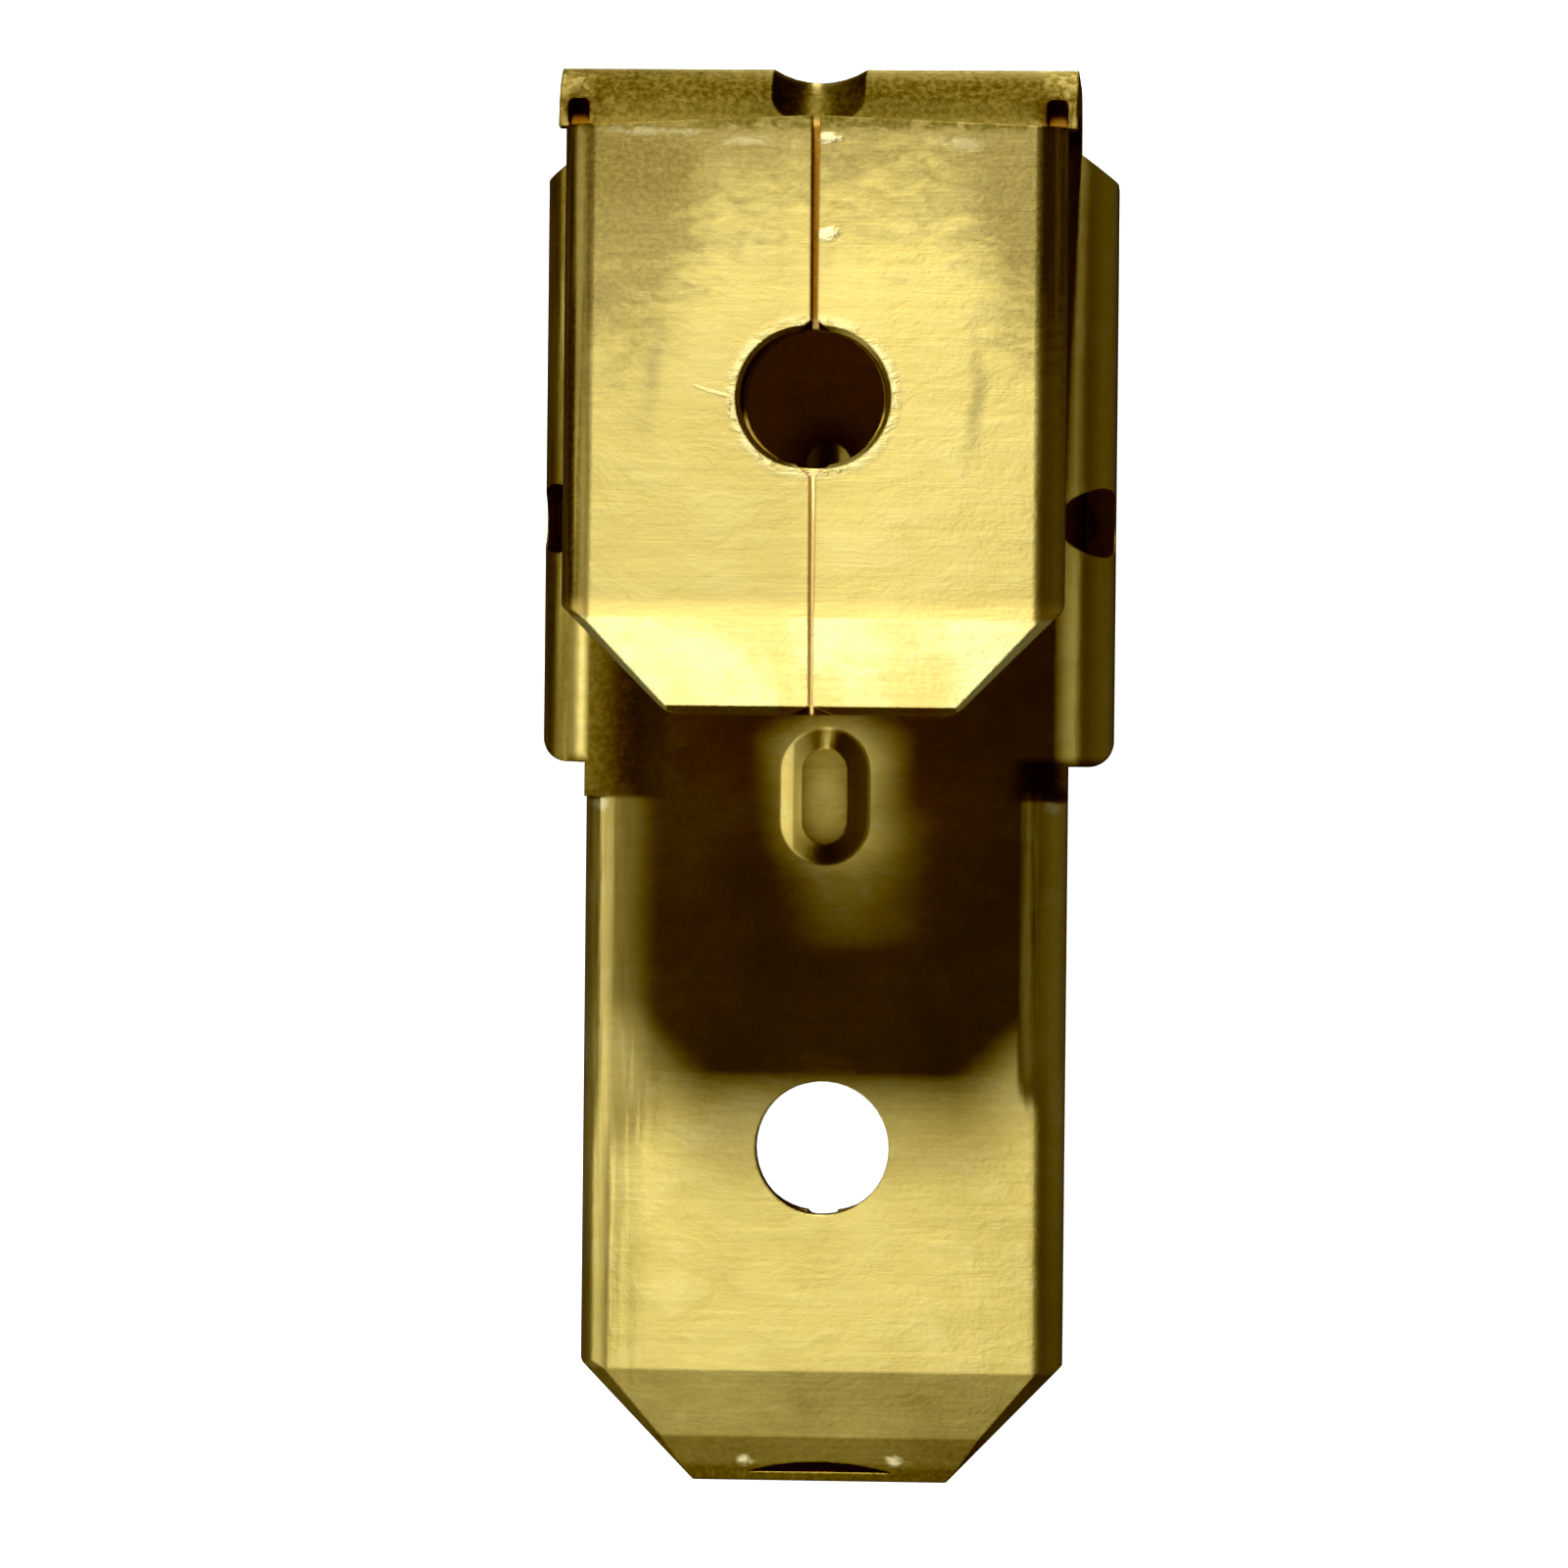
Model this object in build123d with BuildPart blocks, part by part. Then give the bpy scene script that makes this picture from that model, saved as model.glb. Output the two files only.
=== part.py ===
from build123d import *
from math import radians, tan
import os

# Piggyback spade terminal, folded from one piece of brass sheet.
# One receptacle takes the tab of another connector, and two tabs take two more receptacles.
# X runs across the tabs, Y along the terminal with the mouth of the receptacle at +Y, Z is up.
# The rolls of the receptacle lie on Z = 0, and the origin is under the middle of the length.

# Sheet
sheet = 0.385  # thickness of the brass
bend_inner_radius = 0.415  # inside of the two bends of the riser

# Folded tabs, each with two flaps turned in over a base layer
tab_width = 6.3
layer_gap = 0.03  # hairline between the two layers of a tab
seam_gap_root = 0.1  # between the two flaps, at the root of a tab
seam_gap_tip = 0.04  # between the two flaps, at its tip
flap_bow = 0.12  # rise of the flaps' root edges toward the seam
hole_radius = 0.87  # detent hole in the base layer
flap_hole_radius = 0.84  # detent half holes in the flaps
flap_hole_shift = 0.08  # each half hole lies this far out from the seam
hole_roll = 0.06  # edge of the half holes, rolled in by the punch
hole_clip_across = 0.2  # clipped corners of the flaps, where the seam meets the hole
hole_clip_along = 0.16
tip_clip_across = 0.28  # the same at the tip
tip_clip_along = 0.11
tip_thickness = 0.36
nose_thickness = 0.62  # where the gentle bevel meets the steep one
edge_bevel_depth = 0.2  # coined edge along the clipped corners of a tab
side_corner_radius = 0.15  # where a clipped corner meets the side of a tab

lower_flap_length = 8.9
lower_hole_from_tip = 4.35
lower_clip_across = 1.5  # clipped corners at the tip
lower_clip_along = 1.55
lower_bevel_length = 1.44
lower_nose_length = 0.58
lower_edge_bevel_width = 0.17
lower_tip_corner_radius = 0.06

upper_flap_length = 7.35
upper_hole_from_tip = 3.95
upper_clip_across = 1.35
upper_clip_along = 1.35
upper_bevel_length = 1.2
upper_nose_length = 0.1
upper_edge_bevel_width = 0.1
upper_tip_corner_radius = 0.4

# Mark where the tip of the lower tab was cut from its carrier strip
cut_mark_width = 1.85
cut_mark_length = 0.13
cut_mark_from_tip = 0.12
cut_mark_depth = 0.26  # below the face of the tab

# Receptacle
receptacle_length = 7.95
side_clearance = 0.195  # beside a tab pushed into the receptacle
grip_squeeze = 0.05  # the open slot is this much thinner than a tab
roll_radius = 0.9  # outside of the rolls
lip_length = 0.365  # straight end of a roll, up to where it grips
lip_round = 0.12
lead_in_length = 0.6  # slope on the lips at the mouth
lead_in_depth = 0.3
corner_radius = 0.5  # outside of the bend between floor and wall
mouth_clip_along = 0.35
rear_corner_radius = 0.35
window_length = 0.9  # oval relief hole in each floor bend
window_height = 1.05
window_from_mouth = 4.78

# Neck between receptacle and lower tab, with a bead pressed up across it
neck_length = 0.45
bead_length = 1.8
bead_width = 1.16
bead_height = 0.16
bead_slope = 60  # of its sides, away from upright
bead_past_stop = 0.87  # reach of the bead over the lower tab
bead_round = 0.05

# Detent dimple of the receptacle, pressed down from its floor
dimple_radius = 0.42
dimple_depth = 0.12

# Riser, which carries the upper tab above the receptacle
riser_width = 6.5
tab_gap = 3.3  # between the floor and the upper tab
relief_width = 0.26  # relief pockets in the upper bend, beside the roots of the flaps
relief_length = 0.36
relief_round = 0.08
relief_rim = 0.12  # sheet left between a relief pocket and the edge
relief_depth = 0.24
groove_radius = 1.09  # stiffening groove pressed round both bends and the riser
groove_depth = 0.17
groove_end_angle = 60  # the groove stops this far round each bend

# Sizes that follow
tab_thickness = 2 * sheet + layer_gap
bend_radius = sheet + bend_inner_radius
grip_gap = tab_thickness - grip_squeeze
receptacle_width = tab_width + 2 * side_clearance + 2 * sheet
half_width = receptacle_width / 2
lip_top = roll_radius + lip_length
floor_top = lip_top + grip_gap + sheet
floor_mid = floor_top - sheet / 2
upper_base = floor_top + tab_gap
overall_length = lower_flap_length + neck_length + receptacle_length + bend_radius

# Places along the length
front = overall_length / 2
lower_tip = -overall_length / 2
mouth = front - bend_radius
stop_face = lower_tip + lower_flap_length
receptacle_rear = stop_face + neck_length
upper_tip = mouth - upper_flap_length

# Centres of the two bends of the riser
lower_bend_height = floor_top - sheet + bend_radius
upper_bend_height = upper_base + sheet - bend_radius


def folded_tab(
    length, hole_from_tip, clip_across, clip_along, bevel_length, nose_length,
    edge_bevel_width, tip_corner_radius,
):
    """Tab with its tip on the X axis, its root toward +Y, base layer down and flaps on top."""
    middle = tab_thickness / 2
    flap_underside = middle + layer_gap / 2
    with BuildPart() as tab:
        # Both layers and the two half-round folds
        with BuildSketch(Plane.XZ):
            with Locations((0, middle)):
                SlotOverall(tab_width, tab_thickness)
                SlotOverall(tab_width - 2 * sheet, layer_gap, mode=Mode.SUBTRACT)
        extrude(amount=-length)

        # Root edges of the flaps, which bow out toward the seam
        with BuildSketch(Plane.XY.offset(flap_underside)):
            with BuildLine():
                root_half = tab_width / 2 - tab_thickness / 2
                Polyline((-root_half, length), (root_half, length), (0, length + flap_bow), close=True)
            make_face()
        extrude(amount=sheet)

        # Clipped corners at the tip
        with BuildSketch() as outline:
            with BuildLine():
                half = tab_width / 2
                reach = length + flap_bow
                Polyline(
                    (clip_across - half, 0), (half - clip_across, 0), (half, clip_along),
                    (half, reach), (-half, reach), (-half, clip_along), close=True,
                )
            make_face()
            tip_corners = outline.vertices().group_by(Axis.Y)[0]
            fillet(tip_corners, tip_corner_radius)
            side_corners = outline.vertices().filter_by_position(Axis.Y, clip_along, clip_along)
            fillet(side_corners, side_corner_radius)
        extrude(amount=tab_thickness, mode=Mode.INTERSECT)

        # Two-step bevel on both faces of the tip
        with BuildSketch(Plane.YZ):
            with BuildLine():
                Polyline(
                    (0, middle + tip_thickness / 2), (nose_length, middle + nose_thickness / 2),
                    (bevel_length, tab_thickness), (reach, tab_thickness), (reach, 0),
                    (bevel_length, 0), (nose_length, middle - nose_thickness / 2),
                    (0, middle - tip_thickness / 2), close=True,
                )
            make_face()
        extrude(amount=tab_width, both=True, mode=Mode.INTERSECT)

        # Coined edges along the clipped corners
        for side in (-1, 1):
            along = Vector(side * clip_across, clip_along, 0)
            outward = Vector(side * clip_along, -clip_across, 0)
            start = Vector(side * (half - clip_across), 0, middle)
            edge_plane = Plane(origin=start, x_dir=outward, z_dir=along)
            with BuildSketch(edge_plane):
                with BuildLine():
                    Polyline(
                        (-edge_bevel_width, middle), (edge_bevel_width, middle),
                        (edge_bevel_width, middle - 2 * edge_bevel_depth), close=True,
                    )
                make_face()
                mirror(about=Plane.XZ)
            extrude(amount=along.length + edge_bevel_width, mode=Mode.SUBTRACT)

        # Seam between the flaps, and their half holes
        with BuildSketch(Plane.XY.offset(middle)):
            with BuildLine():
                Polyline(
                    (-seam_gap_tip / 2, 0), (seam_gap_tip / 2, 0),
                    (seam_gap_root / 2, reach), (-seam_gap_root / 2, reach), close=True,
                )
            make_face()
            with Locations((-flap_hole_shift, hole_from_tip), (flap_hole_shift, hole_from_tip)):
                Circle(flap_hole_radius)
            Polygon((tip_clip_across, 0), (0, tip_clip_along), (-tip_clip_across, 0), align=None)
            hole_ends = (hole_from_tip - flap_hole_radius, hole_from_tip + flap_hole_radius)
            with Locations([(0, place) for place in hole_ends]):
                Polygon(
                    (hole_clip_across, 0), (0, hole_clip_along),
                    (-hole_clip_across, 0), (0, -hole_clip_along),
                )
        extrude(amount=tab_thickness, mode=Mode.SUBTRACT)
        roll_height = tab_thickness - hole_roll / 2
        with Locations(
            (-flap_hole_shift, hole_from_tip, roll_height), (flap_hole_shift, hole_from_tip, roll_height)
        ):
            Cone(flap_hole_radius, flap_hole_radius + hole_roll, hole_roll, mode=Mode.SUBTRACT)

        # Hole in the base layer
        with BuildSketch():
            with Locations((0, hole_from_tip)):
                Circle(hole_radius)
        extrude(amount=middle, mode=Mode.SUBTRACT)
    return tab.part


def rolled_receptacle():
    """Floor, walls and rolls, open at the mouth and at the rear."""
    with BuildPart() as receptacle:
        with BuildSketch(Plane.XZ.offset(-receptacle_rear)) as section:
            with BuildLine():
                floor_line = Line((0, floor_mid), (half_width - corner_radius, floor_mid))
                corner = JernArc(floor_line @ 1, (1, 0), corner_radius - sheet / 2, -90)
                wall = Line(corner @ 1, (half_width - sheet / 2, roll_radius))
                roll = JernArc(wall @ 1, (0, -1), roll_radius - sheet / 2, -180)
                Line(roll @ 1, (half_width - 2 * roll_radius + sheet / 2, lip_top))
                mirror(about=Plane.YZ)
            trace(line_width=sheet)
            lip_ends = section.vertices().filter_by_position(Axis.Y, lip_top, lip_top)
            fillet(lip_ends, lip_round)
        extrude(amount=-receptacle_length)

        # Corners of the blank, clipped at the mouth and rounded at the rear
        with BuildSketch() as outline:
            with BuildLine():
                clip_start = mouth - mouth_clip_along
                Polyline(
                    (riser_width / 2, mouth), (half_width, clip_start), (half_width, receptacle_rear),
                    (-half_width, receptacle_rear), (-half_width, clip_start), (-riser_width / 2, mouth),
                    close=True,
                )
            make_face()
            rear_corners = outline.vertices().group_by(Axis.Y)[0]
            fillet(rear_corners, rear_corner_radius)
        extrude(amount=floor_top, mode=Mode.INTERSECT)

        # Slope on the lips that leads a tab in
        with BuildSketch(Plane.YZ):
            with BuildLine():
                Polyline(
                    (mouth - lead_in_length, lip_top), (mouth, lip_top),
                    (mouth, lip_top - lead_in_depth), close=True,
                )
            make_face()
        extrude(amount=half_width - roll_radius, both=True, mode=Mode.SUBTRACT)

        # Oval relief holes in the bends between floor and walls
        for side in (-1, 1):
            corner_centre = Vector(
                side * (half_width - corner_radius),
                mouth - window_from_mouth,
                floor_top - corner_radius,
            )
            outward = Vector(side, 0, 1).normalized()
            start = corner_centre - outward * corner_radius / 2
            with BuildSketch(Plane(origin=start, x_dir=(0, 1, 0), z_dir=outward)):
                Ellipse(window_length / 2, window_height / 2)
            extrude(amount=2 * corner_radius, mode=Mode.SUBTRACT)
    return receptacle.part


def bent_riser():
    """Strip that turns up from the floor, rises and turns back toward the upper tab."""
    groove = groove_tube(groove_radius)
    groove_side = groove_wall()
    with BuildPart() as riser:
        with BuildSketch(Plane.YZ):
            with BuildLine():
                lower_bend = CenterArc((mouth, lower_bend_height), bend_radius - sheet / 2, -90, 90)
                upper_bend = CenterArc((mouth, upper_bend_height), bend_radius - sheet / 2, 0, 90)
                Line(lower_bend @ 1, upper_bend @ 0)
            trace(line_width=sheet)
        extrude(amount=riser_width / 2, both=True)

        # Stiffening groove round both bends
        add(groove_side)
        add(groove, mode=Mode.SUBTRACT)

        # Relief pockets beside the roots of the upper flaps
        relief_place = riser_width / 2 - relief_rim - relief_width / 2
        with BuildSketch(Plane.XY.offset(upper_base + sheet)):
            for side in (-1, 1):
                with Locations((side * relief_place, mouth + relief_length / 2)):
                    RectangleRounded(relief_width, relief_length, relief_round)
        extrude(amount=-relief_depth, mode=Mode.SUBTRACT)
    return riser.part


def groove_tube(radius):
    """Round bar with ball ends that follows the riser and its two bends from outside."""
    path_radius = bend_radius + groove_radius - groove_depth
    with BuildPart() as tube:
        with BuildLine(Plane.YZ) as path:
            lower_arc = CenterArc(
                (mouth, lower_bend_height), path_radius, -groove_end_angle, groove_end_angle
            )
            upper_arc = CenterArc((mouth, upper_bend_height), path_radius, 0, groove_end_angle)
            Line(lower_arc @ 1, upper_arc @ 0)
        with BuildSketch(Plane(origin=lower_arc @ 0, z_dir=lower_arc % 0)):
            Circle(radius)
        sweep(path=path.line)
        with Locations(lower_arc @ 0, upper_arc @ 1):
            Sphere(radius)
    return tube.part


def groove_wall():
    """Inner side of the stiffening groove, as thick as the sheet."""
    with BuildPart() as wall:
        add(groove_tube(groove_radius + sheet))
        with BuildSketch(Plane.YZ):
            with BuildLine():
                lower_bend = CenterArc((mouth, lower_bend_height), bend_radius, -90, 90)
                upper_bend = CenterArc((mouth, upper_bend_height), bend_radius, 0, 90)
                Line(lower_bend @ 1, upper_bend @ 0)
                Line(upper_bend @ 1, lower_bend @ 0)
            make_face()
        extrude(amount=riser_width / 2, both=True, mode=Mode.INTERSECT)
    return wall.part


def bead(length, width):
    """Raised oval with sloped sides, as long as asked along Y at its foot."""
    with BuildPart() as raised:
        with BuildSketch():
            SlotOverall(length, width, rotation=90)
        extrude(amount=bead_height, taper=bead_slope)
        fillet(raised.edges().group_by(Axis.Z)[-1], bead_round)
    return raised.part


receptacle = rolled_receptacle()
riser = bent_riser()
lower_tab = folded_tab(
    lower_flap_length, lower_hole_from_tip, lower_clip_across, lower_clip_along,
    lower_bevel_length, lower_nose_length, lower_edge_bevel_width, lower_tip_corner_radius,
)
upper_tab = folded_tab(
    upper_flap_length, upper_hole_from_tip, upper_clip_across, upper_clip_along,
    upper_bevel_length, upper_nose_length, upper_edge_bevel_width, upper_tip_corner_radius,
)

with BuildPart() as terminal:
    add(receptacle)

    # Neck, one layer thick
    with BuildSketch(Plane.XY.offset(floor_top - sheet)):
        with Locations((0, stop_face + neck_length / 2)):
            Rectangle(tab_width, neck_length)
    extrude(amount=sheet)

    # Tabs: flaps underneath on the lower one, on top on the upper one
    with Locations(Location((0, lower_tip, floor_top), (0, 180, 0))):
        add(lower_tab)
    with Locations((0, upper_tip, upper_base)):
        add(upper_tab)

    add(riser)

    # Bead across the neck, and the recess it leaves underneath
    bead_middle = stop_face - bead_past_stop + bead_length / 2
    bead_wall = 2 * sheet * tan(radians(90 - bead_slope) / 2)
    with Locations((0, bead_middle, floor_top)):
        add(bead(bead_length, bead_width))
    with Locations((0, bead_middle, floor_top - sheet)):
        add(bead(bead_length - bead_wall, bead_width - bead_wall), mode=Mode.SUBTRACT)

    # Cut mark at the tip, curved on the side of the tab
    with BuildSketch(Plane((0, lower_tip + cut_mark_from_tip, floor_top))):
        with BuildLine():
            chord = Line((-cut_mark_width / 2, 0), (cut_mark_width / 2, 0))
            ThreePointArc(chord @ 0, (0, cut_mark_length), chord @ 1)
        make_face()
    extrude(amount=-cut_mark_depth, mode=Mode.SUBTRACT)

    # Detent dimple, where the hole of a tab pushed home lies
    dimple_place = stop_face + lower_hole_from_tip
    dimple_ball = (dimple_radius**2 + dimple_depth**2) / (2 * dimple_depth)
    ball_height = floor_top - sheet - dimple_depth + dimple_ball
    with BuildSketch(Plane.XZ.offset(-dimple_place)):
        with Locations((0, ball_height)):
            Circle(dimple_ball)
        with Locations((0, floor_mid)):
            Rectangle(
                dimple_ball, dimple_ball, align=(Align.MIN, Align.MAX), mode=Mode.INTERSECT
            )
    revolve(axis=Axis((0, dimple_place, 0), (0, 0, 1)))
    with Locations((0, dimple_place, ball_height)):
        Sphere(dimple_ball - sheet, mode=Mode.SUBTRACT)

terminal.part.label = "terminal"
os.makedirs("parts", exist_ok=True)
export_step(terminal.part, "parts/terminal.step")
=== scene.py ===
from math import radians, sin, cos

import bpy
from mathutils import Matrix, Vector


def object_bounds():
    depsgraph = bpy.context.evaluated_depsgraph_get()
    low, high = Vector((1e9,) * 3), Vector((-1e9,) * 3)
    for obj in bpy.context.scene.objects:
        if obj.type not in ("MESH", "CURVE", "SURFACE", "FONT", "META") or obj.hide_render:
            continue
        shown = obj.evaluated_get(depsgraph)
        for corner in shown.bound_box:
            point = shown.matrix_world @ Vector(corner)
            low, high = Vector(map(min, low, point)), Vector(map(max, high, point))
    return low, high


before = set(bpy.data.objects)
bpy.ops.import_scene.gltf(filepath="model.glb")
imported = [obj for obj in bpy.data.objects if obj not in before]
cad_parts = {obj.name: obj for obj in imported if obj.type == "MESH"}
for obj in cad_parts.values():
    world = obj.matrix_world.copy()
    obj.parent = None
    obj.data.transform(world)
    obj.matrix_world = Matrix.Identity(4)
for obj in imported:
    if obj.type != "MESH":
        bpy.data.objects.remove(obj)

CAD_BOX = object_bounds()
MM = 0.001

# Heights of the part, in millimetres
TOP = CAD_BOX[1][2] / MM
TAB_THICKNESS = 0.8
TAB_GAP = 3.3
UPPER_BASE = TOP - TAB_THICKNESS  # underside of the upper tab
FLOOR = UPPER_BASE - TAB_GAP  # upper face of receptacle, neck and lower tab

# The photograph's view, with its lengths in millimetres
VIEW_CENTRE = Vector((-0.542, 0.035, FLOOR))
VIEW_WIDTH = 20.41
VIEW_DISTANCE = 95.0
VIEW_LEAN = radians(3.2)
VIEW_ROLL = radians(0.6)

# Places along the part, in millimetres
TIP = CAD_BOX[0][1] / MM  # end of the lower tab
FRONT = CAD_BOX[1][1] / MM  # front of the riser
CUT_MARK = TIP + 0.21
NOSE = TIP + 0.58  # where the bevel of the lower tab turns steeper
LOWER_BEVEL = TIP + 1.45
STOP = TIP + 8.9  # where the folded sides of the lower tab end, at the neck
ROOT = FRONT - 0.8  # where the flaps of the upper tab end at the bend
UPPER_BEVEL = ROOT - 6.15
UPPER_HOLE = 4.85
DIMPLE = 4.2

# Places across the part, in millimetres from its middle
FOLD = 2.85  # where the flat of a tab turns into its folded side
WALL = CAD_BOX[1][0] / MM - 0.555  # where the floor of the receptacle turns into its walls
BEAD_SIDE = 0.58
TOOL_MARK = 2.01

# The upper hole is two half holes, each a little out from the seam, in millimetres
HOLE_RADIUS = 0.87
HALF_HOLE_OFFSET = 0.08


def make_camera():
    """Nearly straight down, leaning a little toward +X, as the photograph was taken."""
    data = bpy.data.cameras.new("camera")
    data.sensor_width = 36.0
    data.lens = data.sensor_width * VIEW_DISTANCE / VIEW_WIDTH
    data.clip_start = 0.005
    data.clip_end = 10.0
    camera = bpy.data.objects.new("camera", data)
    back = Vector((sin(VIEW_LEAN), 0, cos(VIEW_LEAN)))
    camera.location = (VIEW_CENTRE + back * VIEW_DISTANCE) * MM
    camera.rotation_mode = "ZYX"
    camera.rotation_euler = (0, VIEW_LEAN, VIEW_ROLL)
    bpy.context.scene.collection.objects.link(camera)
    bpy.context.scene.camera = camera


def area_light(name, elevation, azimuth, width, height, power, distance=250):
    """Soft white light that faces the part, with its sizes in millimetres and its power in watts.

    Azimuth 0 is toward +Y and 90 toward +X.
    """
    data = bpy.data.lights.new(name, "AREA")
    data.shape = "RECTANGLE"
    data.size = width * MM
    data.size_y = height * MM
    data.energy = power
    light = bpy.data.objects.new(name, data)
    flat = cos(radians(elevation))
    toward = Vector((
        flat * sin(radians(azimuth)), flat * cos(radians(azimuth)), sin(radians(elevation))
    ))
    light.location = toward * distance * MM
    light.rotation_euler = toward.to_track_quat("Z", "Y").to_euler()
    bpy.context.scene.collection.objects.link(light)


def make_world(overhead, sides):
    """Dim room, brighter toward both sides of the part than overhead."""
    world = bpy.data.worlds.new("studio")
    bpy.context.scene.world = world
    world.use_nodes = True
    tree = world.node_tree
    coords = tree.nodes.new("ShaderNodeTexCoord")
    parts = tree.nodes.new("ShaderNodeSeparateXYZ")
    sideways = tree.nodes.new("ShaderNodeMath")
    sideways.operation = "ABSOLUTE"
    level = tree.nodes.new("ShaderNodeMath")
    level.operation = "MULTIPLY_ADD"
    level.inputs[1].default_value = sides
    level.inputs[2].default_value = overhead
    tree.links.new(coords.outputs["Generated"], parts.inputs[0])
    tree.links.new(parts.outputs[0], sideways.inputs[0])
    tree.links.new(sideways.outputs[0], level.inputs[0])
    tree.nodes["Background"].inputs["Color"].default_value = (1, 1, 1, 1)
    tree.links.new(level.outputs[0], tree.nodes["Background"].inputs["Strength"])


def make_floor(half_width=400):
    """Pale sheet that glows a little, so the part's shadow on it stays faint."""
    mesh = bpy.data.meshes.new("floor")
    half = half_width * MM
    corners = [(-half, -half, 0), (half, -half, 0), (half, half, 0), (-half, half, 0)]
    mesh.from_pydata(corners, [], [(0, 1, 2, 3)])
    floor = bpy.data.objects.new("floor", mesh)
    bpy.context.scene.collection.objects.link(floor)
    material = bpy.data.materials.new("floor_white")
    material.use_nodes = True
    shader = material.node_tree.nodes["Principled BSDF"]
    shader.inputs["Base Color"].default_value = (0.9, 0.9, 0.9, 1)
    shader.inputs["Roughness"].default_value = 0.8
    shader.inputs["Emission Color"].default_value = (1, 1, 1, 1)
    shader.inputs["Emission Strength"].default_value = 1.0
    floor.visible_glossy = False
    floor.data.materials.append(material)


def set_tones():
    """Deep warm shadows, as in the photograph: green and blue fall off sooner than red."""
    view = bpy.context.scene.view_settings
    view.view_transform = "Standard"
    view.use_curve_mapping = True
    red_toe = ((0.01, 0.003), (0.03, 0.016), (0.06, 0.046))
    green_toe = ((0.01, 0.001), (0.03, 0.0085), (0.06, 0.036))
    blue_toe = ((0.02, 0.0005), (0.05, 0.0246))
    for curve, toe in zip(view.curve_mapping.curves, (red_toe, green_toe, blue_toe)):
        for place, level in toe:
            curve.points.new(place, level)
        for point in curve.points:
            point.handle_type = "VECTOR"
    view.curve_mapping.update()


class Graph:
    """Short way to write a metal's nodes. Its masks are 0 outside a region and 1 inside."""

    def __init__(self, name):
        self.material = bpy.data.materials.new(name)
        self.material.use_nodes = True
        self.tree = self.material.node_tree
        self.shader = self.tree.nodes["Principled BSDF"]
        self.colour = None

    def node(self, kind, settings=None, **inputs):
        """Node of a kind. An input is named, or counted as i0, i1 and so on."""
        made = self.tree.nodes.new(kind)
        for key, value in (settings or {}).items():
            setattr(made, key, value)
        for key, value in inputs.items():
            counted = key[0] == "i" and key[1:].isdigit()
            self.put(made.inputs[int(key[1:]) if counted else key], value)
        return made

    def put(self, socket, value):
        """Link another node's output to a socket, or set the socket's own value."""
        if isinstance(value, bpy.types.NodeSocket):
            self.tree.links.new(value, socket)
        else:
            socket.default_value = value

    def math(self, operation, a, b=0.0, c=0.0):
        return self.node("ShaderNodeMath", {"operation": operation}, i0=a, i1=b, i2=c).outputs[0]

    def sum(self, first, *others):
        for other in others:
            first = self.math("ADD", first, other)
        return first

    def product(self, first, *others):
        for other in others:
            first = self.math("MULTIPLY", first, other)
        return first

    def largest(self, first, *others):
        for other in others:
            first = self.math("MAXIMUM", first, other)
        return first

    def scaled(self, value, factor, offset=0.0):
        """Value times a factor, plus an offset."""
        return self.math("MULTIPLY_ADD", value, factor, offset)

    def inverse(self, mask):
        return self.math("SUBTRACT", 1.0, mask)

    def mix(self, factor, first, second):
        """Colour between two others, each a socket or red, green and blue."""
        made = self.node("ShaderNodeMix", {"data_type": "RGBA"}, i0=factor)
        for place, colour in ((6, first), (7, second)):
            self.put(made.inputs[place], (*colour, 1) if isinstance(colour, tuple) else colour)
        return made.outputs[2]

    def paint(self, mask, colour, strength=None):
        """Lay a colour over what is there, where the mask says."""
        factor = mask if strength is None else self.scaled(mask, strength)
        self.colour = self.mix(factor, self.colour, colour)

    def ramp(self, value, low, high, to_low=0.0, to_high=1.0):
        """Smooth step of a value, from to_low at low to to_high at high."""
        made = self.node(
            "ShaderNodeMapRange", {"interpolation_type": "SMOOTHSTEP"},
            i0=value, i1=low, i2=high, i3=to_low, i4=to_high,
        )
        return made.outputs[0]

    def past(self, value, place, soft):
        """Mask of what lies past a place, with its edge as soft to either side."""
        return self.ramp(value, place - soft, place + soft)

    def before(self, value, place, soft):
        """Mask of what lies before a place, with its edge as soft to either side."""
        return self.ramp(value, place + soft, place - soft)

    def distance(self, x, y, centre_x, centre_y, half_x=1.0, half_y=1.0):
        """Distance from a centre, where 1 is the edge of an oval with these half sizes."""
        across = self.math("DIVIDE", self.math("SUBTRACT", x, centre_x), half_x)
        along = self.math("DIVIDE", self.math("SUBTRACT", y, centre_y), half_y)
        squares = self.sum(self.math("POWER", across, 2.0), self.math("POWER", along, 2.0))
        return self.math("SQRT", squares)

    def spot(self, x, y, centre_x, centre_y, half_x, half_y, ragged=0.0):
        """Oval spot that is 1 in the middle and 0 outside, with a soft ragged edge."""
        place = self.distance(x, y, centre_x, centre_y, half_x, half_y)
        return self.ramp(self.sum(place, ragged), 1.0, 0.2)

    def stretch(self, vector, x, y, z):
        """Vector times a factor for each axis. A large one makes a noise fine along that axis."""
        made = self.node("ShaderNodeVectorMath", {"operation": "MULTIPLY"}, i0=vector, i1=(x, y, z))
        return made.outputs[0]

    def noise(self, vector, scale=1.0, detail=3.0, roughness=0.6, distortion=0.0):
        made = self.node(
            "ShaderNodeTexNoise", None, Vector=vector, Scale=scale, Detail=detail,
            Roughness=roughness, Distortion=distortion,
        )
        return made.outputs[0]


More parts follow.
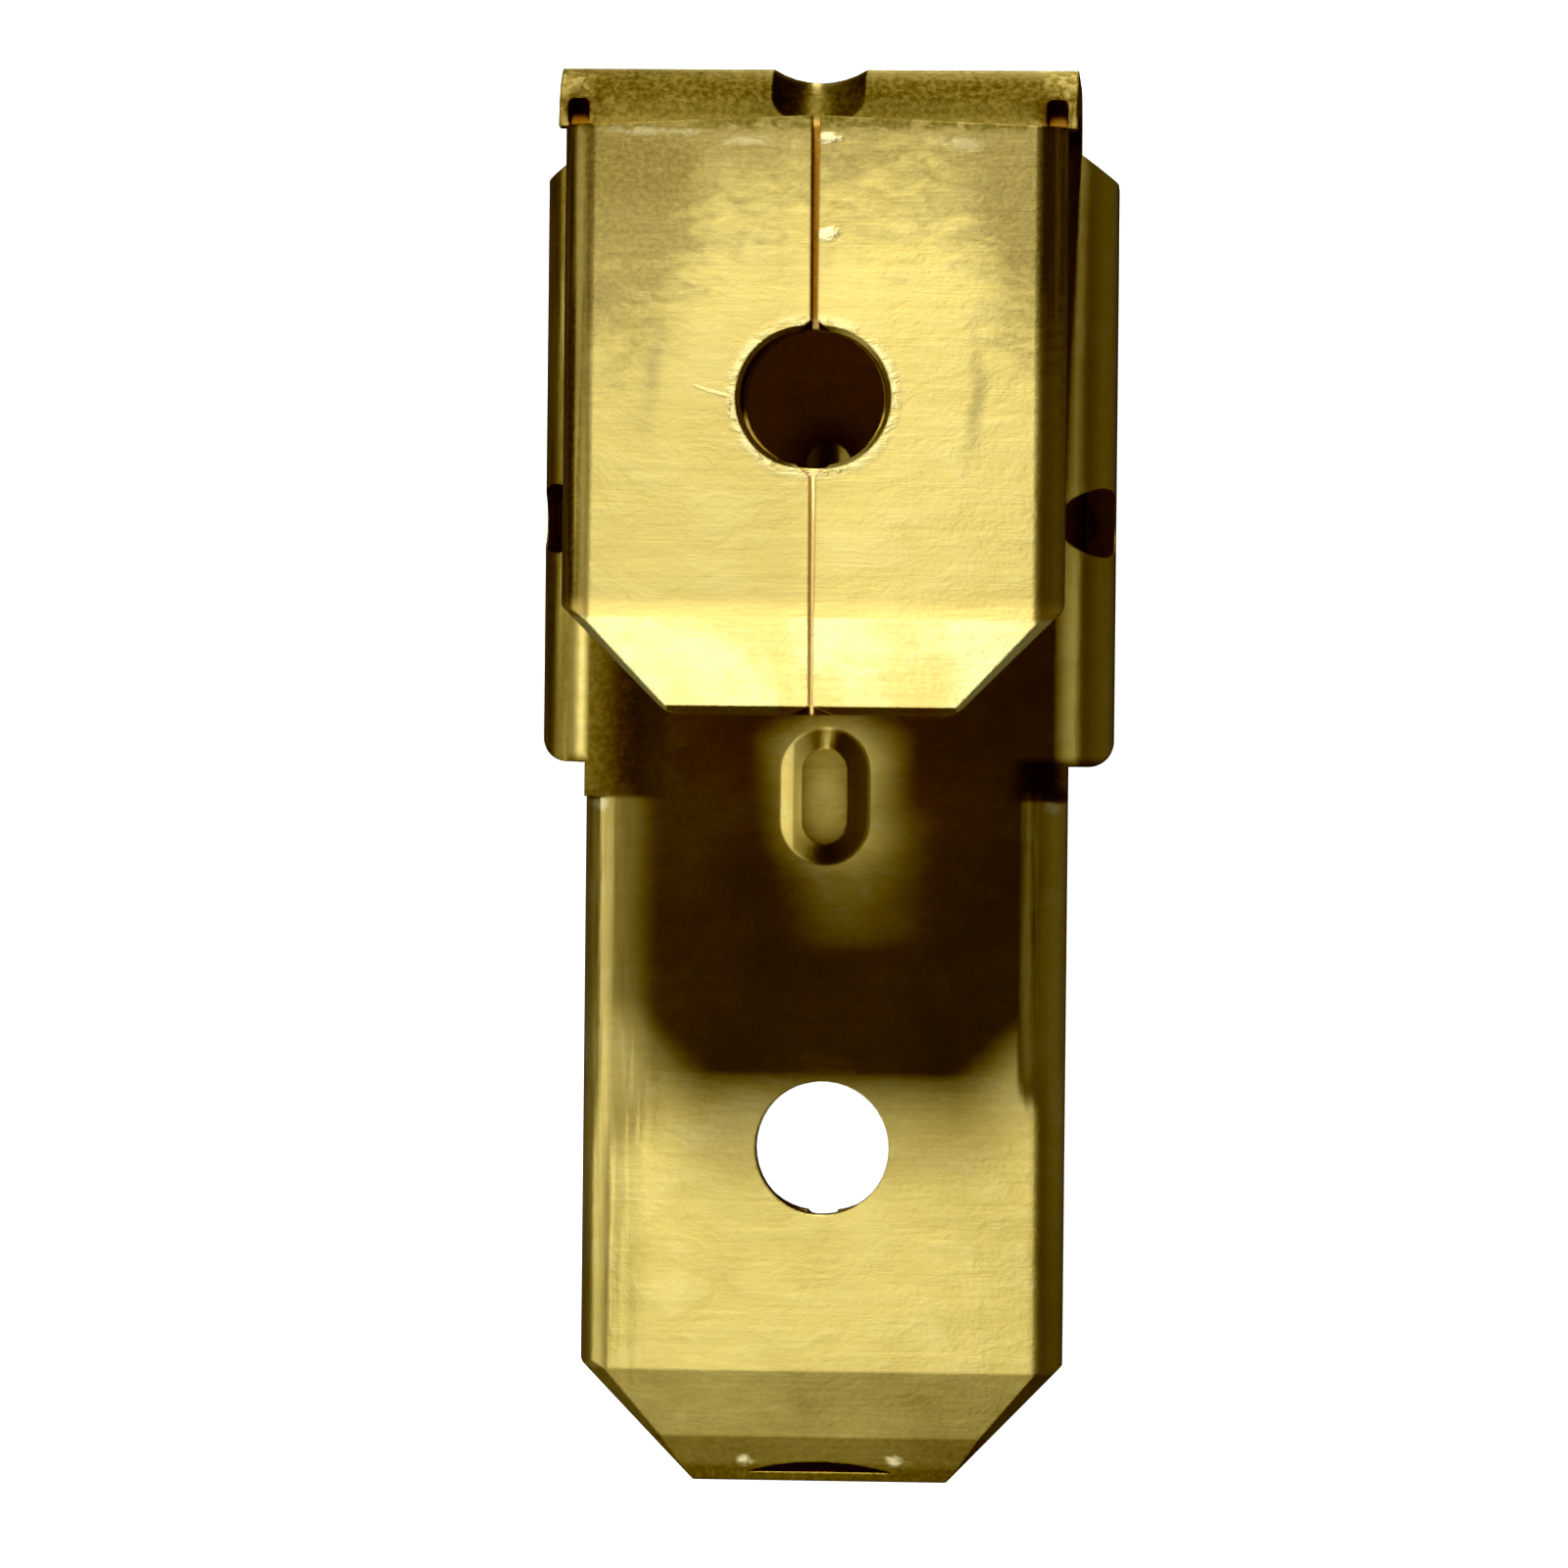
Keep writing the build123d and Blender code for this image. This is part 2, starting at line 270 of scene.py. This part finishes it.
def find_places(g):
    """Place on the part in millimetres, and regions of the part that several functions use."""
    coords = g.node("ShaderNodeTexCoord")
    g.place = g.node(
        "ShaderNodeVectorMath", {"operation": "SCALE"}, i0=coords.outputs["Object"], Scale=1 / MM
    ).outputs[0]
    g.x, g.y, g.z = g.node("ShaderNodeSeparateXYZ", None, i0=g.place).outputs
    g.across = g.math("ABSOLUTE", g.x)
    g.upper = g.past(g.z, UPPER_BASE - 0.15, soft=0.1)
    g.lower = g.inverse(g.upper)
    g.top_side = g.product(g.past(g.z, FLOOR - 0.3, soft=0.05), g.lower)
    g.left = g.before(g.x, 0.0, soft=0.5)
    g.behind = g.before(g.y, STOP + 0.1, soft=0.15)
    g.seam = g.before(g.across, 0.06, soft=0.03)


def make_noises(g):
    """Clouds of tarnish, marks of rolling and drawing, flakes and grain."""
    g.clouds = g.noise(g.place, scale=0.55, detail=5.0, distortion=0.3)
    g.blotches = g.noise(g.stretch(g.place, 0.8, 1.5, 1.0), scale=1.6, detail=4.0, distortion=0.6)
    g.rolling = g.noise(
        g.stretch(g.place, 0.35, 5.5, 5.5), detail=4.0, roughness=0.65, distortion=0.15
    )
    g.drawing = g.noise(g.stretch(g.place, 8.0, 0.3, 8.0))
    g.flakes = g.noise(g.stretch(g.place, 3.0, 6.0, 3.0), distortion=0.8)
    g.wander = g.noise(g.stretch(g.place, 0.6, 1.1, 1.0), detail=2.0, roughness=0.5)
    g.grain = g.noise(g.place, scale=14.0, detail=2.0)
    g.ragged = g.scaled(g.flakes, 2.0, -1.0)


def paint_metal(g):
    """Clean brass, with soft patches and marks of rolling."""
    g.colour = g.mix(g.ramp(g.clouds, 0.3, 0.7), (0.80, 0.635, 0.18), (0.93, 0.76, 0.25))
    g.paint(g.ramp(g.rolling, 0.25, 0.75, 0.0, 0.35), (0.72, 0.58, 0.17))
    g.paint(g.ramp(g.blotches, 0.42, 0.75, 0.0, 0.45), (0.98, 0.84, 0.36))
    g.paint(g.ramp(g.wander, 0.5, 0.2, 0.0, 0.3), (0.62, 0.5, 0.17))


def paint_upper_tab(g):
    """Face darker overall, and darker still and ragged toward its root and deeper into the corners,
    with painted shade along the root edge.
    """
    # Face darker overall, a little more on its left and near the root
    mid_length = g.ramp(g.y, UPPER_HOLE + 0.45, UPPER_HOLE + 1.45, 0.56, 0.49)
    near_root = g.ramp(g.y, ROOT - 1.25, ROOT - 0.25, 0.0, 0.12)
    face_darkening = g.sum(g.scaled(g.left, 0.12), mid_length, near_root)
    g.paint(g.product(g.upper, face_darkening), (0.3, 0.24, 0.08))

    corners = g.largest(g.before(g.x, -FOLD + 1.2, soft=0.7), g.past(g.x, FOLD - 0.65, soft=0.6))
    # Darker toward the root, with a ragged edge, deeper into the corners and most in the left
    # corner
    ragged_y = g.sum(
        g.y, g.scaled(g.blotches, 2.6, -1.3), g.scaled(corners, 1.9), g.scaled(g.flakes, 2.2, -0.9)
    )
    root = g.product(g.past(ragged_y, ROOT - 0.7, soft=1.25), g.upper)
    g.paint(root, (0.19, 0.15, 0.05), strength=0.9)

    ragged_x = g.sum(g.x, g.scaled(g.blotches, 1.4, -0.7))
    left_corner = g.product(
        root, g.before(ragged_x, -FOLD + 1.3, soft=0.45), g.past(g.y, ROOT - 1.0, soft=0.45)
    )
    g.paint(left_corner, (0.09, 0.065, 0.015), strength=0.5)

    # Painted shade in flakes along the root edge, breaking up the highlight it catches
    root_edge = g.product(
        g.past(g.y, ROOT - 0.065, soft=0.065), g.past(g.z, UPPER_BASE + 0.375, soft=0.025)
    )
    g.paint(g.product(root_edge, g.ramp(g.flakes, 0.6, 0.42)), (0.1, 0.08, 0.02))


def paint_upper_bend(g):
    """Darker bend, darkest toward its front and its ends."""
    bend_height = g.past(g.z, UPPER_BASE, soft=0.2)
    g.bend = g.product(g.past(g.y, ROOT + 0.075, soft=0.125), bend_height)
    bend_front = g.product(g.past(g.y, ROOT + 0.325, soft=0.225), bend_height)
    ragged_across = g.sum(g.across, g.scaled(g.wander, 1.0, -0.5))
    bend_ends = g.product(g.bend, g.past(ragged_across, FOLD - 0.2, soft=0.35))
    g.paint(g.bend, (0.11, 0.085, 0.018), strength=0.92)
    g.paint(g.product(bend_front, g.ramp(g.rolling, 0.3, 0.7, 0.6, 1.0)), (0.05, 0.035, 0.005))
    g.paint(bend_ends, (0.07, 0.05, 0.01), strength=0.5)


def paint_neck(g):
    """Painted shade on the bead, light on its top and none on its left side, and painted shade on
    the floor beside it and at the sides of the neck.
    """
    # Painted shade, light, on the raised top of the bead
    bead_top = g.product(g.past(g.z, FLOOR + 0.07, soft=0.05), g.lower)
    g.paint(bead_top, (0.3, 0.24, 0.07), strength=0.35)

    # Painted shade on the bead, except on its left side and a patch on its top
    bead = g.product(
        g.past(g.z, FLOOR + 0.0175, soft=0.0125), g.lower,
        g.before(g.across, BEAD_SIDE + 0.1, soft=0.04), g.before(g.y, STOP + 1.1, soft=0.05),
    )
    top_patch = g.spot(g.x, g.y, -0.02, -0.2, 0.42, 0.7)
    bead_lit = g.largest(g.before(g.x, -BEAD_SIDE + 0.165, soft=0.025), top_patch)
    g.paint(g.product(bead, g.inverse(bead_lit)), (0.14, 0.095, 0.015), strength=0.65)

    # Painted shade on the floor by the left wall and at the sides of the neck
    ahead = g.past(g.y, STOP - 0.01, soft=0.04)
    floor_left = g.product(
        g.before(g.x, -FOLD + 0.6, soft=0.25), g.past(g.x, -WALL + 0.035, soft=0.06),
        g.before(g.z, FLOOR + 0.25, soft=0.15), ahead,
    )
    neck_sides = g.product(
        g.past(g.across, FOLD - 0.35, soft=0.2), g.lower, ahead,
        g.before(g.y, STOP + 0.525, soft=0.075),
    )
    g.paint(g.largest(floor_left, neck_sides), (0.08, 0.052, 0.006), strength=0.92)


def paint_lower_sides(g):
    """Streaks along the left side of the lower tab, and painted shade on its left strip and its
    right fold.
    """
    streaks = g.product(
        g.before(g.x, -FOLD + 0.325, soft=0.225), g.behind, g.ramp(g.drawing, 0.42, 0.58, 0.0, 0.4)
    )
    g.paint(streaks, (0.35, 0.28, 0.09))
    # Painted shade on the left strip of the lower tab
    left_side = g.product(
        g.before(g.x, -FOLD + 0.425, soft=0.175), g.behind, g.past(g.y, STOP - 2.9, soft=0.45)
    )
    g.paint(left_side, (0.25, 0.19, 0.05), strength=0.36)
    # Painted shade on the right fold of the lower tab
    right_side = g.product(g.past(g.x, FOLD - 0.13, soft=0.06), g.behind)
    g.paint(right_side, (0.25, 0.18, 0.04), strength=0.35)


def paint_folds_and_walls(g):
    """Painted shade on the folds of the upper tab and the walls of the receptacle, more on the
    left, with streaks.
    """
    # Painted shade on the folds of the upper tab, heavier on the left
    hems = g.product(g.past(g.across, FOLD, soft=0.1), g.upper)
    g.paint(g.product(hems, g.scaled(g.left, 0.45, 0.3)), (0.2, 0.145, 0.035))
    # Painted shade as a dark line along the left fold
    fold_line = g.product(
        g.past(g.across, FOLD + 0.065, soft=0.065), g.before(g.across, FOLD + 0.22, soft=0.05),
        g.left, g.upper,
    )
    g.paint(fold_line, (0.06, 0.045, 0.01), strength=0.7)
    # Painted shade on the walls of the receptacle, heavier on the left
    wall_start = g.past(g.scaled(g.left, -0.12, g.across), WALL, soft=0.125)
    walls = g.product(wall_start, g.lower, g.past(g.y, STOP + 0.3, soft=0.15))
    g.paint(g.product(walls, g.scaled(g.left, 0.46, 0.44)), (0.15, 0.11, 0.02))
    streaks = g.product(g.ramp(g.drawing, 0.45, 0.6), g.largest(hems, walls), 0.35)
    g.paint(streaks, (0.6, 0.48, 0.16))


def paint_lower_tip(g):
    """Painted shade on the lower tab, deeper toward its tip, step by step down its bevel, and in
    the cut mark.
    """
    # Painted shade, deeper toward the tip, down the bevel, on the nose and in the cut mark's recess
    g.paint(g.before(g.y, LOWER_BEVEL + 2.1, soft=1.5), (0.3, 0.24, 0.07), strength=0.47)
    bevel = g.before(g.y, LOWER_BEVEL, soft=0.03)
    g.paint(g.product(bevel, g.ramp(g.flakes, 0.3, 0.7, 0.65, 0.76)), (0.26, 0.21, 0.06))
    g.paint(g.before(g.y, NOSE, soft=0.03), (0.16, 0.12, 0.02), strength=0.5)
    g.paint(g.before(g.y, CUT_MARK, soft=0.06), (0.1, 0.07, 0.01), strength=0.75)


def paint_upper_details(g):
    """Tool marks on both sides of the upper hole, brown seam, and a painted highlight on the bevel.
    """
    ragged_across = g.sum(g.across, g.scaled(g.wander, 0.5, -0.25))
    from_mark = g.math("ABSOLUTE", g.math("SUBTRACT", ragged_across, TOOL_MARK))
    marks = g.product(
        g.ramp(from_mark, 0.16, 0.0), g.past(g.y, UPPER_HOLE - 0.6, soft=0.35),
        g.before(g.y, UPPER_HOLE + 0.9, soft=0.35), g.ramp(g.clouds, 0.3, 0.6), g.upper,
    )
    g.paint(marks, (0.28, 0.23, 0.09), strength=0.8)
    seam_sides = g.product(g.seam, g.before(g.y, ROOT + 0.1, soft=0.05), g.upper)
    g.paint(seam_sides, (0.6, 0.33, 0.1), strength=0.35)
    # Painted highlight along the edge of the bevel and over the bevel
    bevel_edge = g.product(g.before(g.y, UPPER_BEVEL + 0.175, soft=0.125), g.upper)
    g.paint(bevel_edge, (1.0, 0.72, 0.22), strength=0.5)
    g.upper_bevel = g.product(g.before(g.y, UPPER_BEVEL, soft=0.03), g.upper)
    bevel_highlight = g.mix(g.ramp(g.clouds, 0.42, 0.6), (1.0, 0.98, 0.44), (0.95, 0.72, 0.24))
    g.paint(g.upper_bevel, bevel_highlight, strength=0.95)


def paint_wear(g):
    """Grain, chips beside the seam, a crack and the rim of the hole, and painted glints on these,
    on burrs by the cut mark, at the starts of the folds and at the root.
    """
    g.paint(g.ramp(g.grain, 0.3, 0.75, 0.0, 0.18), (0.55, 0.43, 0.12))

    crack = g.spot(g.x, g.scaled(g.x, 0.3, g.y), -1.2, UPPER_HOLE - 0.31, 0.34, 0.035, g.ragged)
    chips = g.largest(
        g.spot(g.x, g.y, 0.15, ROOT - 0.17, 0.2, 0.09, g.ragged),
        g.spot(g.x, g.y, 0.15, ROOT - 1.35, 0.2, 0.1, g.ragged),
        g.scaled(crack, 0.45),
    )
    g.chips = g.product(chips, g.upper)

    from_hole = g.distance(g.across, g.y, HALF_HOLE_OFFSET, UPPER_HOLE)
    g.rim = g.product(
        g.past(from_hole, HOLE_RADIUS + 0.01, soft=0.02),
        g.before(from_hole, HOLE_RADIUS + 0.13, soft=0.06),
        g.ramp(g.flakes, 0.35, 0.55), g.upper,
    )

    root_gleam = g.largest(
        g.spot(g.x, g.y, -2.1, ROOT - 0.09, 0.7, 0.07, g.ragged),
        g.spot(g.x, g.y, -0.85, ROOT - 0.19, 0.4, 0.1, g.ragged),
        g.spot(g.x, g.y, 1.85, ROOT - 0.23, 0.35, 0.12, g.ragged),
    )
    root_gleam = g.product(root_gleam, g.upper)
    burr = g.spot(g.across, g.y, 0.97, CUT_MARK + 0.07, 0.13, 0.11, g.ragged)
    g.burrs = g.product(burr, g.top_side)
    fold_start = g.spot(
        g.across, g.y, FOLD + 0.1, STOP - 0.09, 0.16, 0.12, g.scaled(g.flakes, 1.0, -0.5)
    )
    # Painted glints on the chips, the crack, the burrs, the hole's rim, the fold starts and the
    # root
    painted_glints = g.largest(
        g.scaled(g.chips, 0.45), g.scaled(g.burrs, 0.5), g.scaled(g.rim, 0.25),
        g.scaled(fold_start, 0.6), g.scaled(root_gleam, 0.14),
    )
    g.paint(painted_glints, (1.0, 0.93, 0.55))


def paint_hollows(g):
    """Painted shade in the relief pockets and the detent dimple, painted brown shade in the
    crevices, and painted light in the slit of the lower seam.
    """
    # Painted shade in the relief pockets and the detent dimple
    relief = g.spot(g.across, g.y, 3.0, ROOT + 0.25, 0.36, 0.36, g.ragged)
    dimple = g.product(g.spot(g.x, g.y, 0.0, DIMPLE, 0.8, 0.8), g.top_side, 0.85)
    g.paint(g.largest(relief, dimple), (0.05, 0.03, 0.005), strength=0.85)
    # Painted brown shade in crevices where occlusion is low, and painted light in the lower seam's
    # slit
    occlusion = g.node(
        "ShaderNodeAmbientOcclusion", {"samples": 4, "only_local": True}, Distance=0.25 * MM
    )
    low_seam = g.product(g.seam, g.before(g.y, UPPER_HOLE - 0.85, soft=0.2), g.upper)
    crevice_shade_and_seam_light = g.mix(low_seam, (0.2, 0.09, 0.015), (1.0, 0.74, 0.3))
    g.paint(g.ramp(occlusion.outputs["AO"], 0.75, 0.35), crevice_shade_and_seam_light)


def set_finish(g):
    """Satin metal that spreads its highlights along the part, rougher in clouds and at the bend."""
    roughness = g.sum(0.345, g.scaled(g.clouds, 0.25), g.scaled(g.bend, 0.15))
    grain_along = g.node("ShaderNodeCombineXYZ", None, X=0.05, Y=1.0, Z=0.03)
    g.put(g.shader.inputs["Base Color"], g.colour)
    g.put(g.shader.inputs["Metallic"], 1.0)
    g.put(g.shader.inputs["Roughness"], roughness)
    g.put(g.shader.inputs["Anisotropic"], 0.9)
    g.put(g.shader.inputs["Tangent"], grain_along.outputs[0])


def set_relief(g):
    """Soft edges, sides of the lower tab that lean outward, marks of rolling, and grain."""
    # The strip that leans on the left side is wider toward the tip
    left_x = g.sum(g.x, g.ramp(g.y, STOP - 2.45, STOP - 3.45, 0.0, -0.4))
    left_side = g.product(
        g.before(left_x, -FOLD + 0.225, soft=0.325), g.behind,
        g.ramp(g.y, STOP - 5.05, STOP - 3.45, 0.2, 1.0), g.ramp(g.drawing, 0.35, 0.6, 0.45, 1.0),
    )
    right_side = g.product(
        g.past(g.x, FOLD - 0.25, soft=0.06), g.behind,
        g.past(g.y, STOP - 3.75, soft=0.5), g.ramp(g.drawing, 0.3, 0.6, 0.3, 1.0),
    )
    right_line = g.product(
        g.past(g.x, FOLD - 0.3, soft=0.05), g.before(g.x, FOLD - 0.08, soft=0.07), g.behind,
        g.past(g.y, STOP - 3.7, soft=0.35), g.ramp(g.drawing, 0.3, 0.6, 0.4, 1.0),
    )
    lean = g.node(
        "ShaderNodeCombineXYZ", None,
        X=g.sum(g.scaled(left_side, -0.25), g.scaled(right_side, 0.3), g.scaled(right_line, 0.38)),
        Y=g.sum(g.scaled(g.upper_bevel, 0.016), g.scaled(g.burrs, 0.2)),
    )
    normal = g.node("ShaderNodeBevel", {"samples": 4}, Radius=0.04 * MM).outputs[0]
    normal = g.node(
        "ShaderNodeVectorMath", {"operation": "ADD"}, i0=normal, i1=lean.outputs[0]
    ).outputs[0]
    normal = g.node("ShaderNodeVectorMath", {"operation": "NORMALIZE"}, i0=normal).outputs[0]
    height = g.sum(
        g.scaled(g.rolling, 0.6), g.scaled(g.grain, 0.25), g.blotches,
        g.scaled(g.chips, 0.8), g.scaled(g.rim, 0.5),
    )
    bump = g.node(
        "ShaderNodeBump", None, Strength=0.35, Distance=0.02 * MM, Height=height, Normal=normal
    )
    g.put(g.shader.inputs["Normal"], bump.outputs[0])


def make_brass():
    """Old brass sheet, darker at the bend and over the upper face, with painted shade and painted
    highlights in many places.

    Each function that paints lays its colours over those before it. What later functions use
    too, such as the bend or the chips, is kept on the graph.
    """
    g = Graph("brass")
    find_places(g)
    make_noises(g)
    paint_metal(g)
    paint_upper_tab(g)
    paint_upper_bend(g)
    paint_neck(g)
    paint_lower_sides(g)
    paint_folds_and_walls(g)
    paint_lower_tip(g)
    paint_upper_details(g)
    paint_wear(g)
    paint_hollows(g)
    set_finish(g)
    set_relief(g)
    return g.material


brass = make_brass()
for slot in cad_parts["terminal"].material_slots:
    slot.material = brass

make_camera()
make_world(overhead=0.004, sides=0.2)
make_floor()
area_light("key", elevation=37.3, azimuth=-1.4, width=32, height=36, power=0.33)
area_light("low", elevation=32.0, azimuth=-4, width=42, height=28, power=0.25)
area_light("left", elevation=38, azimuth=-90, width=150, height=230, power=0.27)
set_tones()
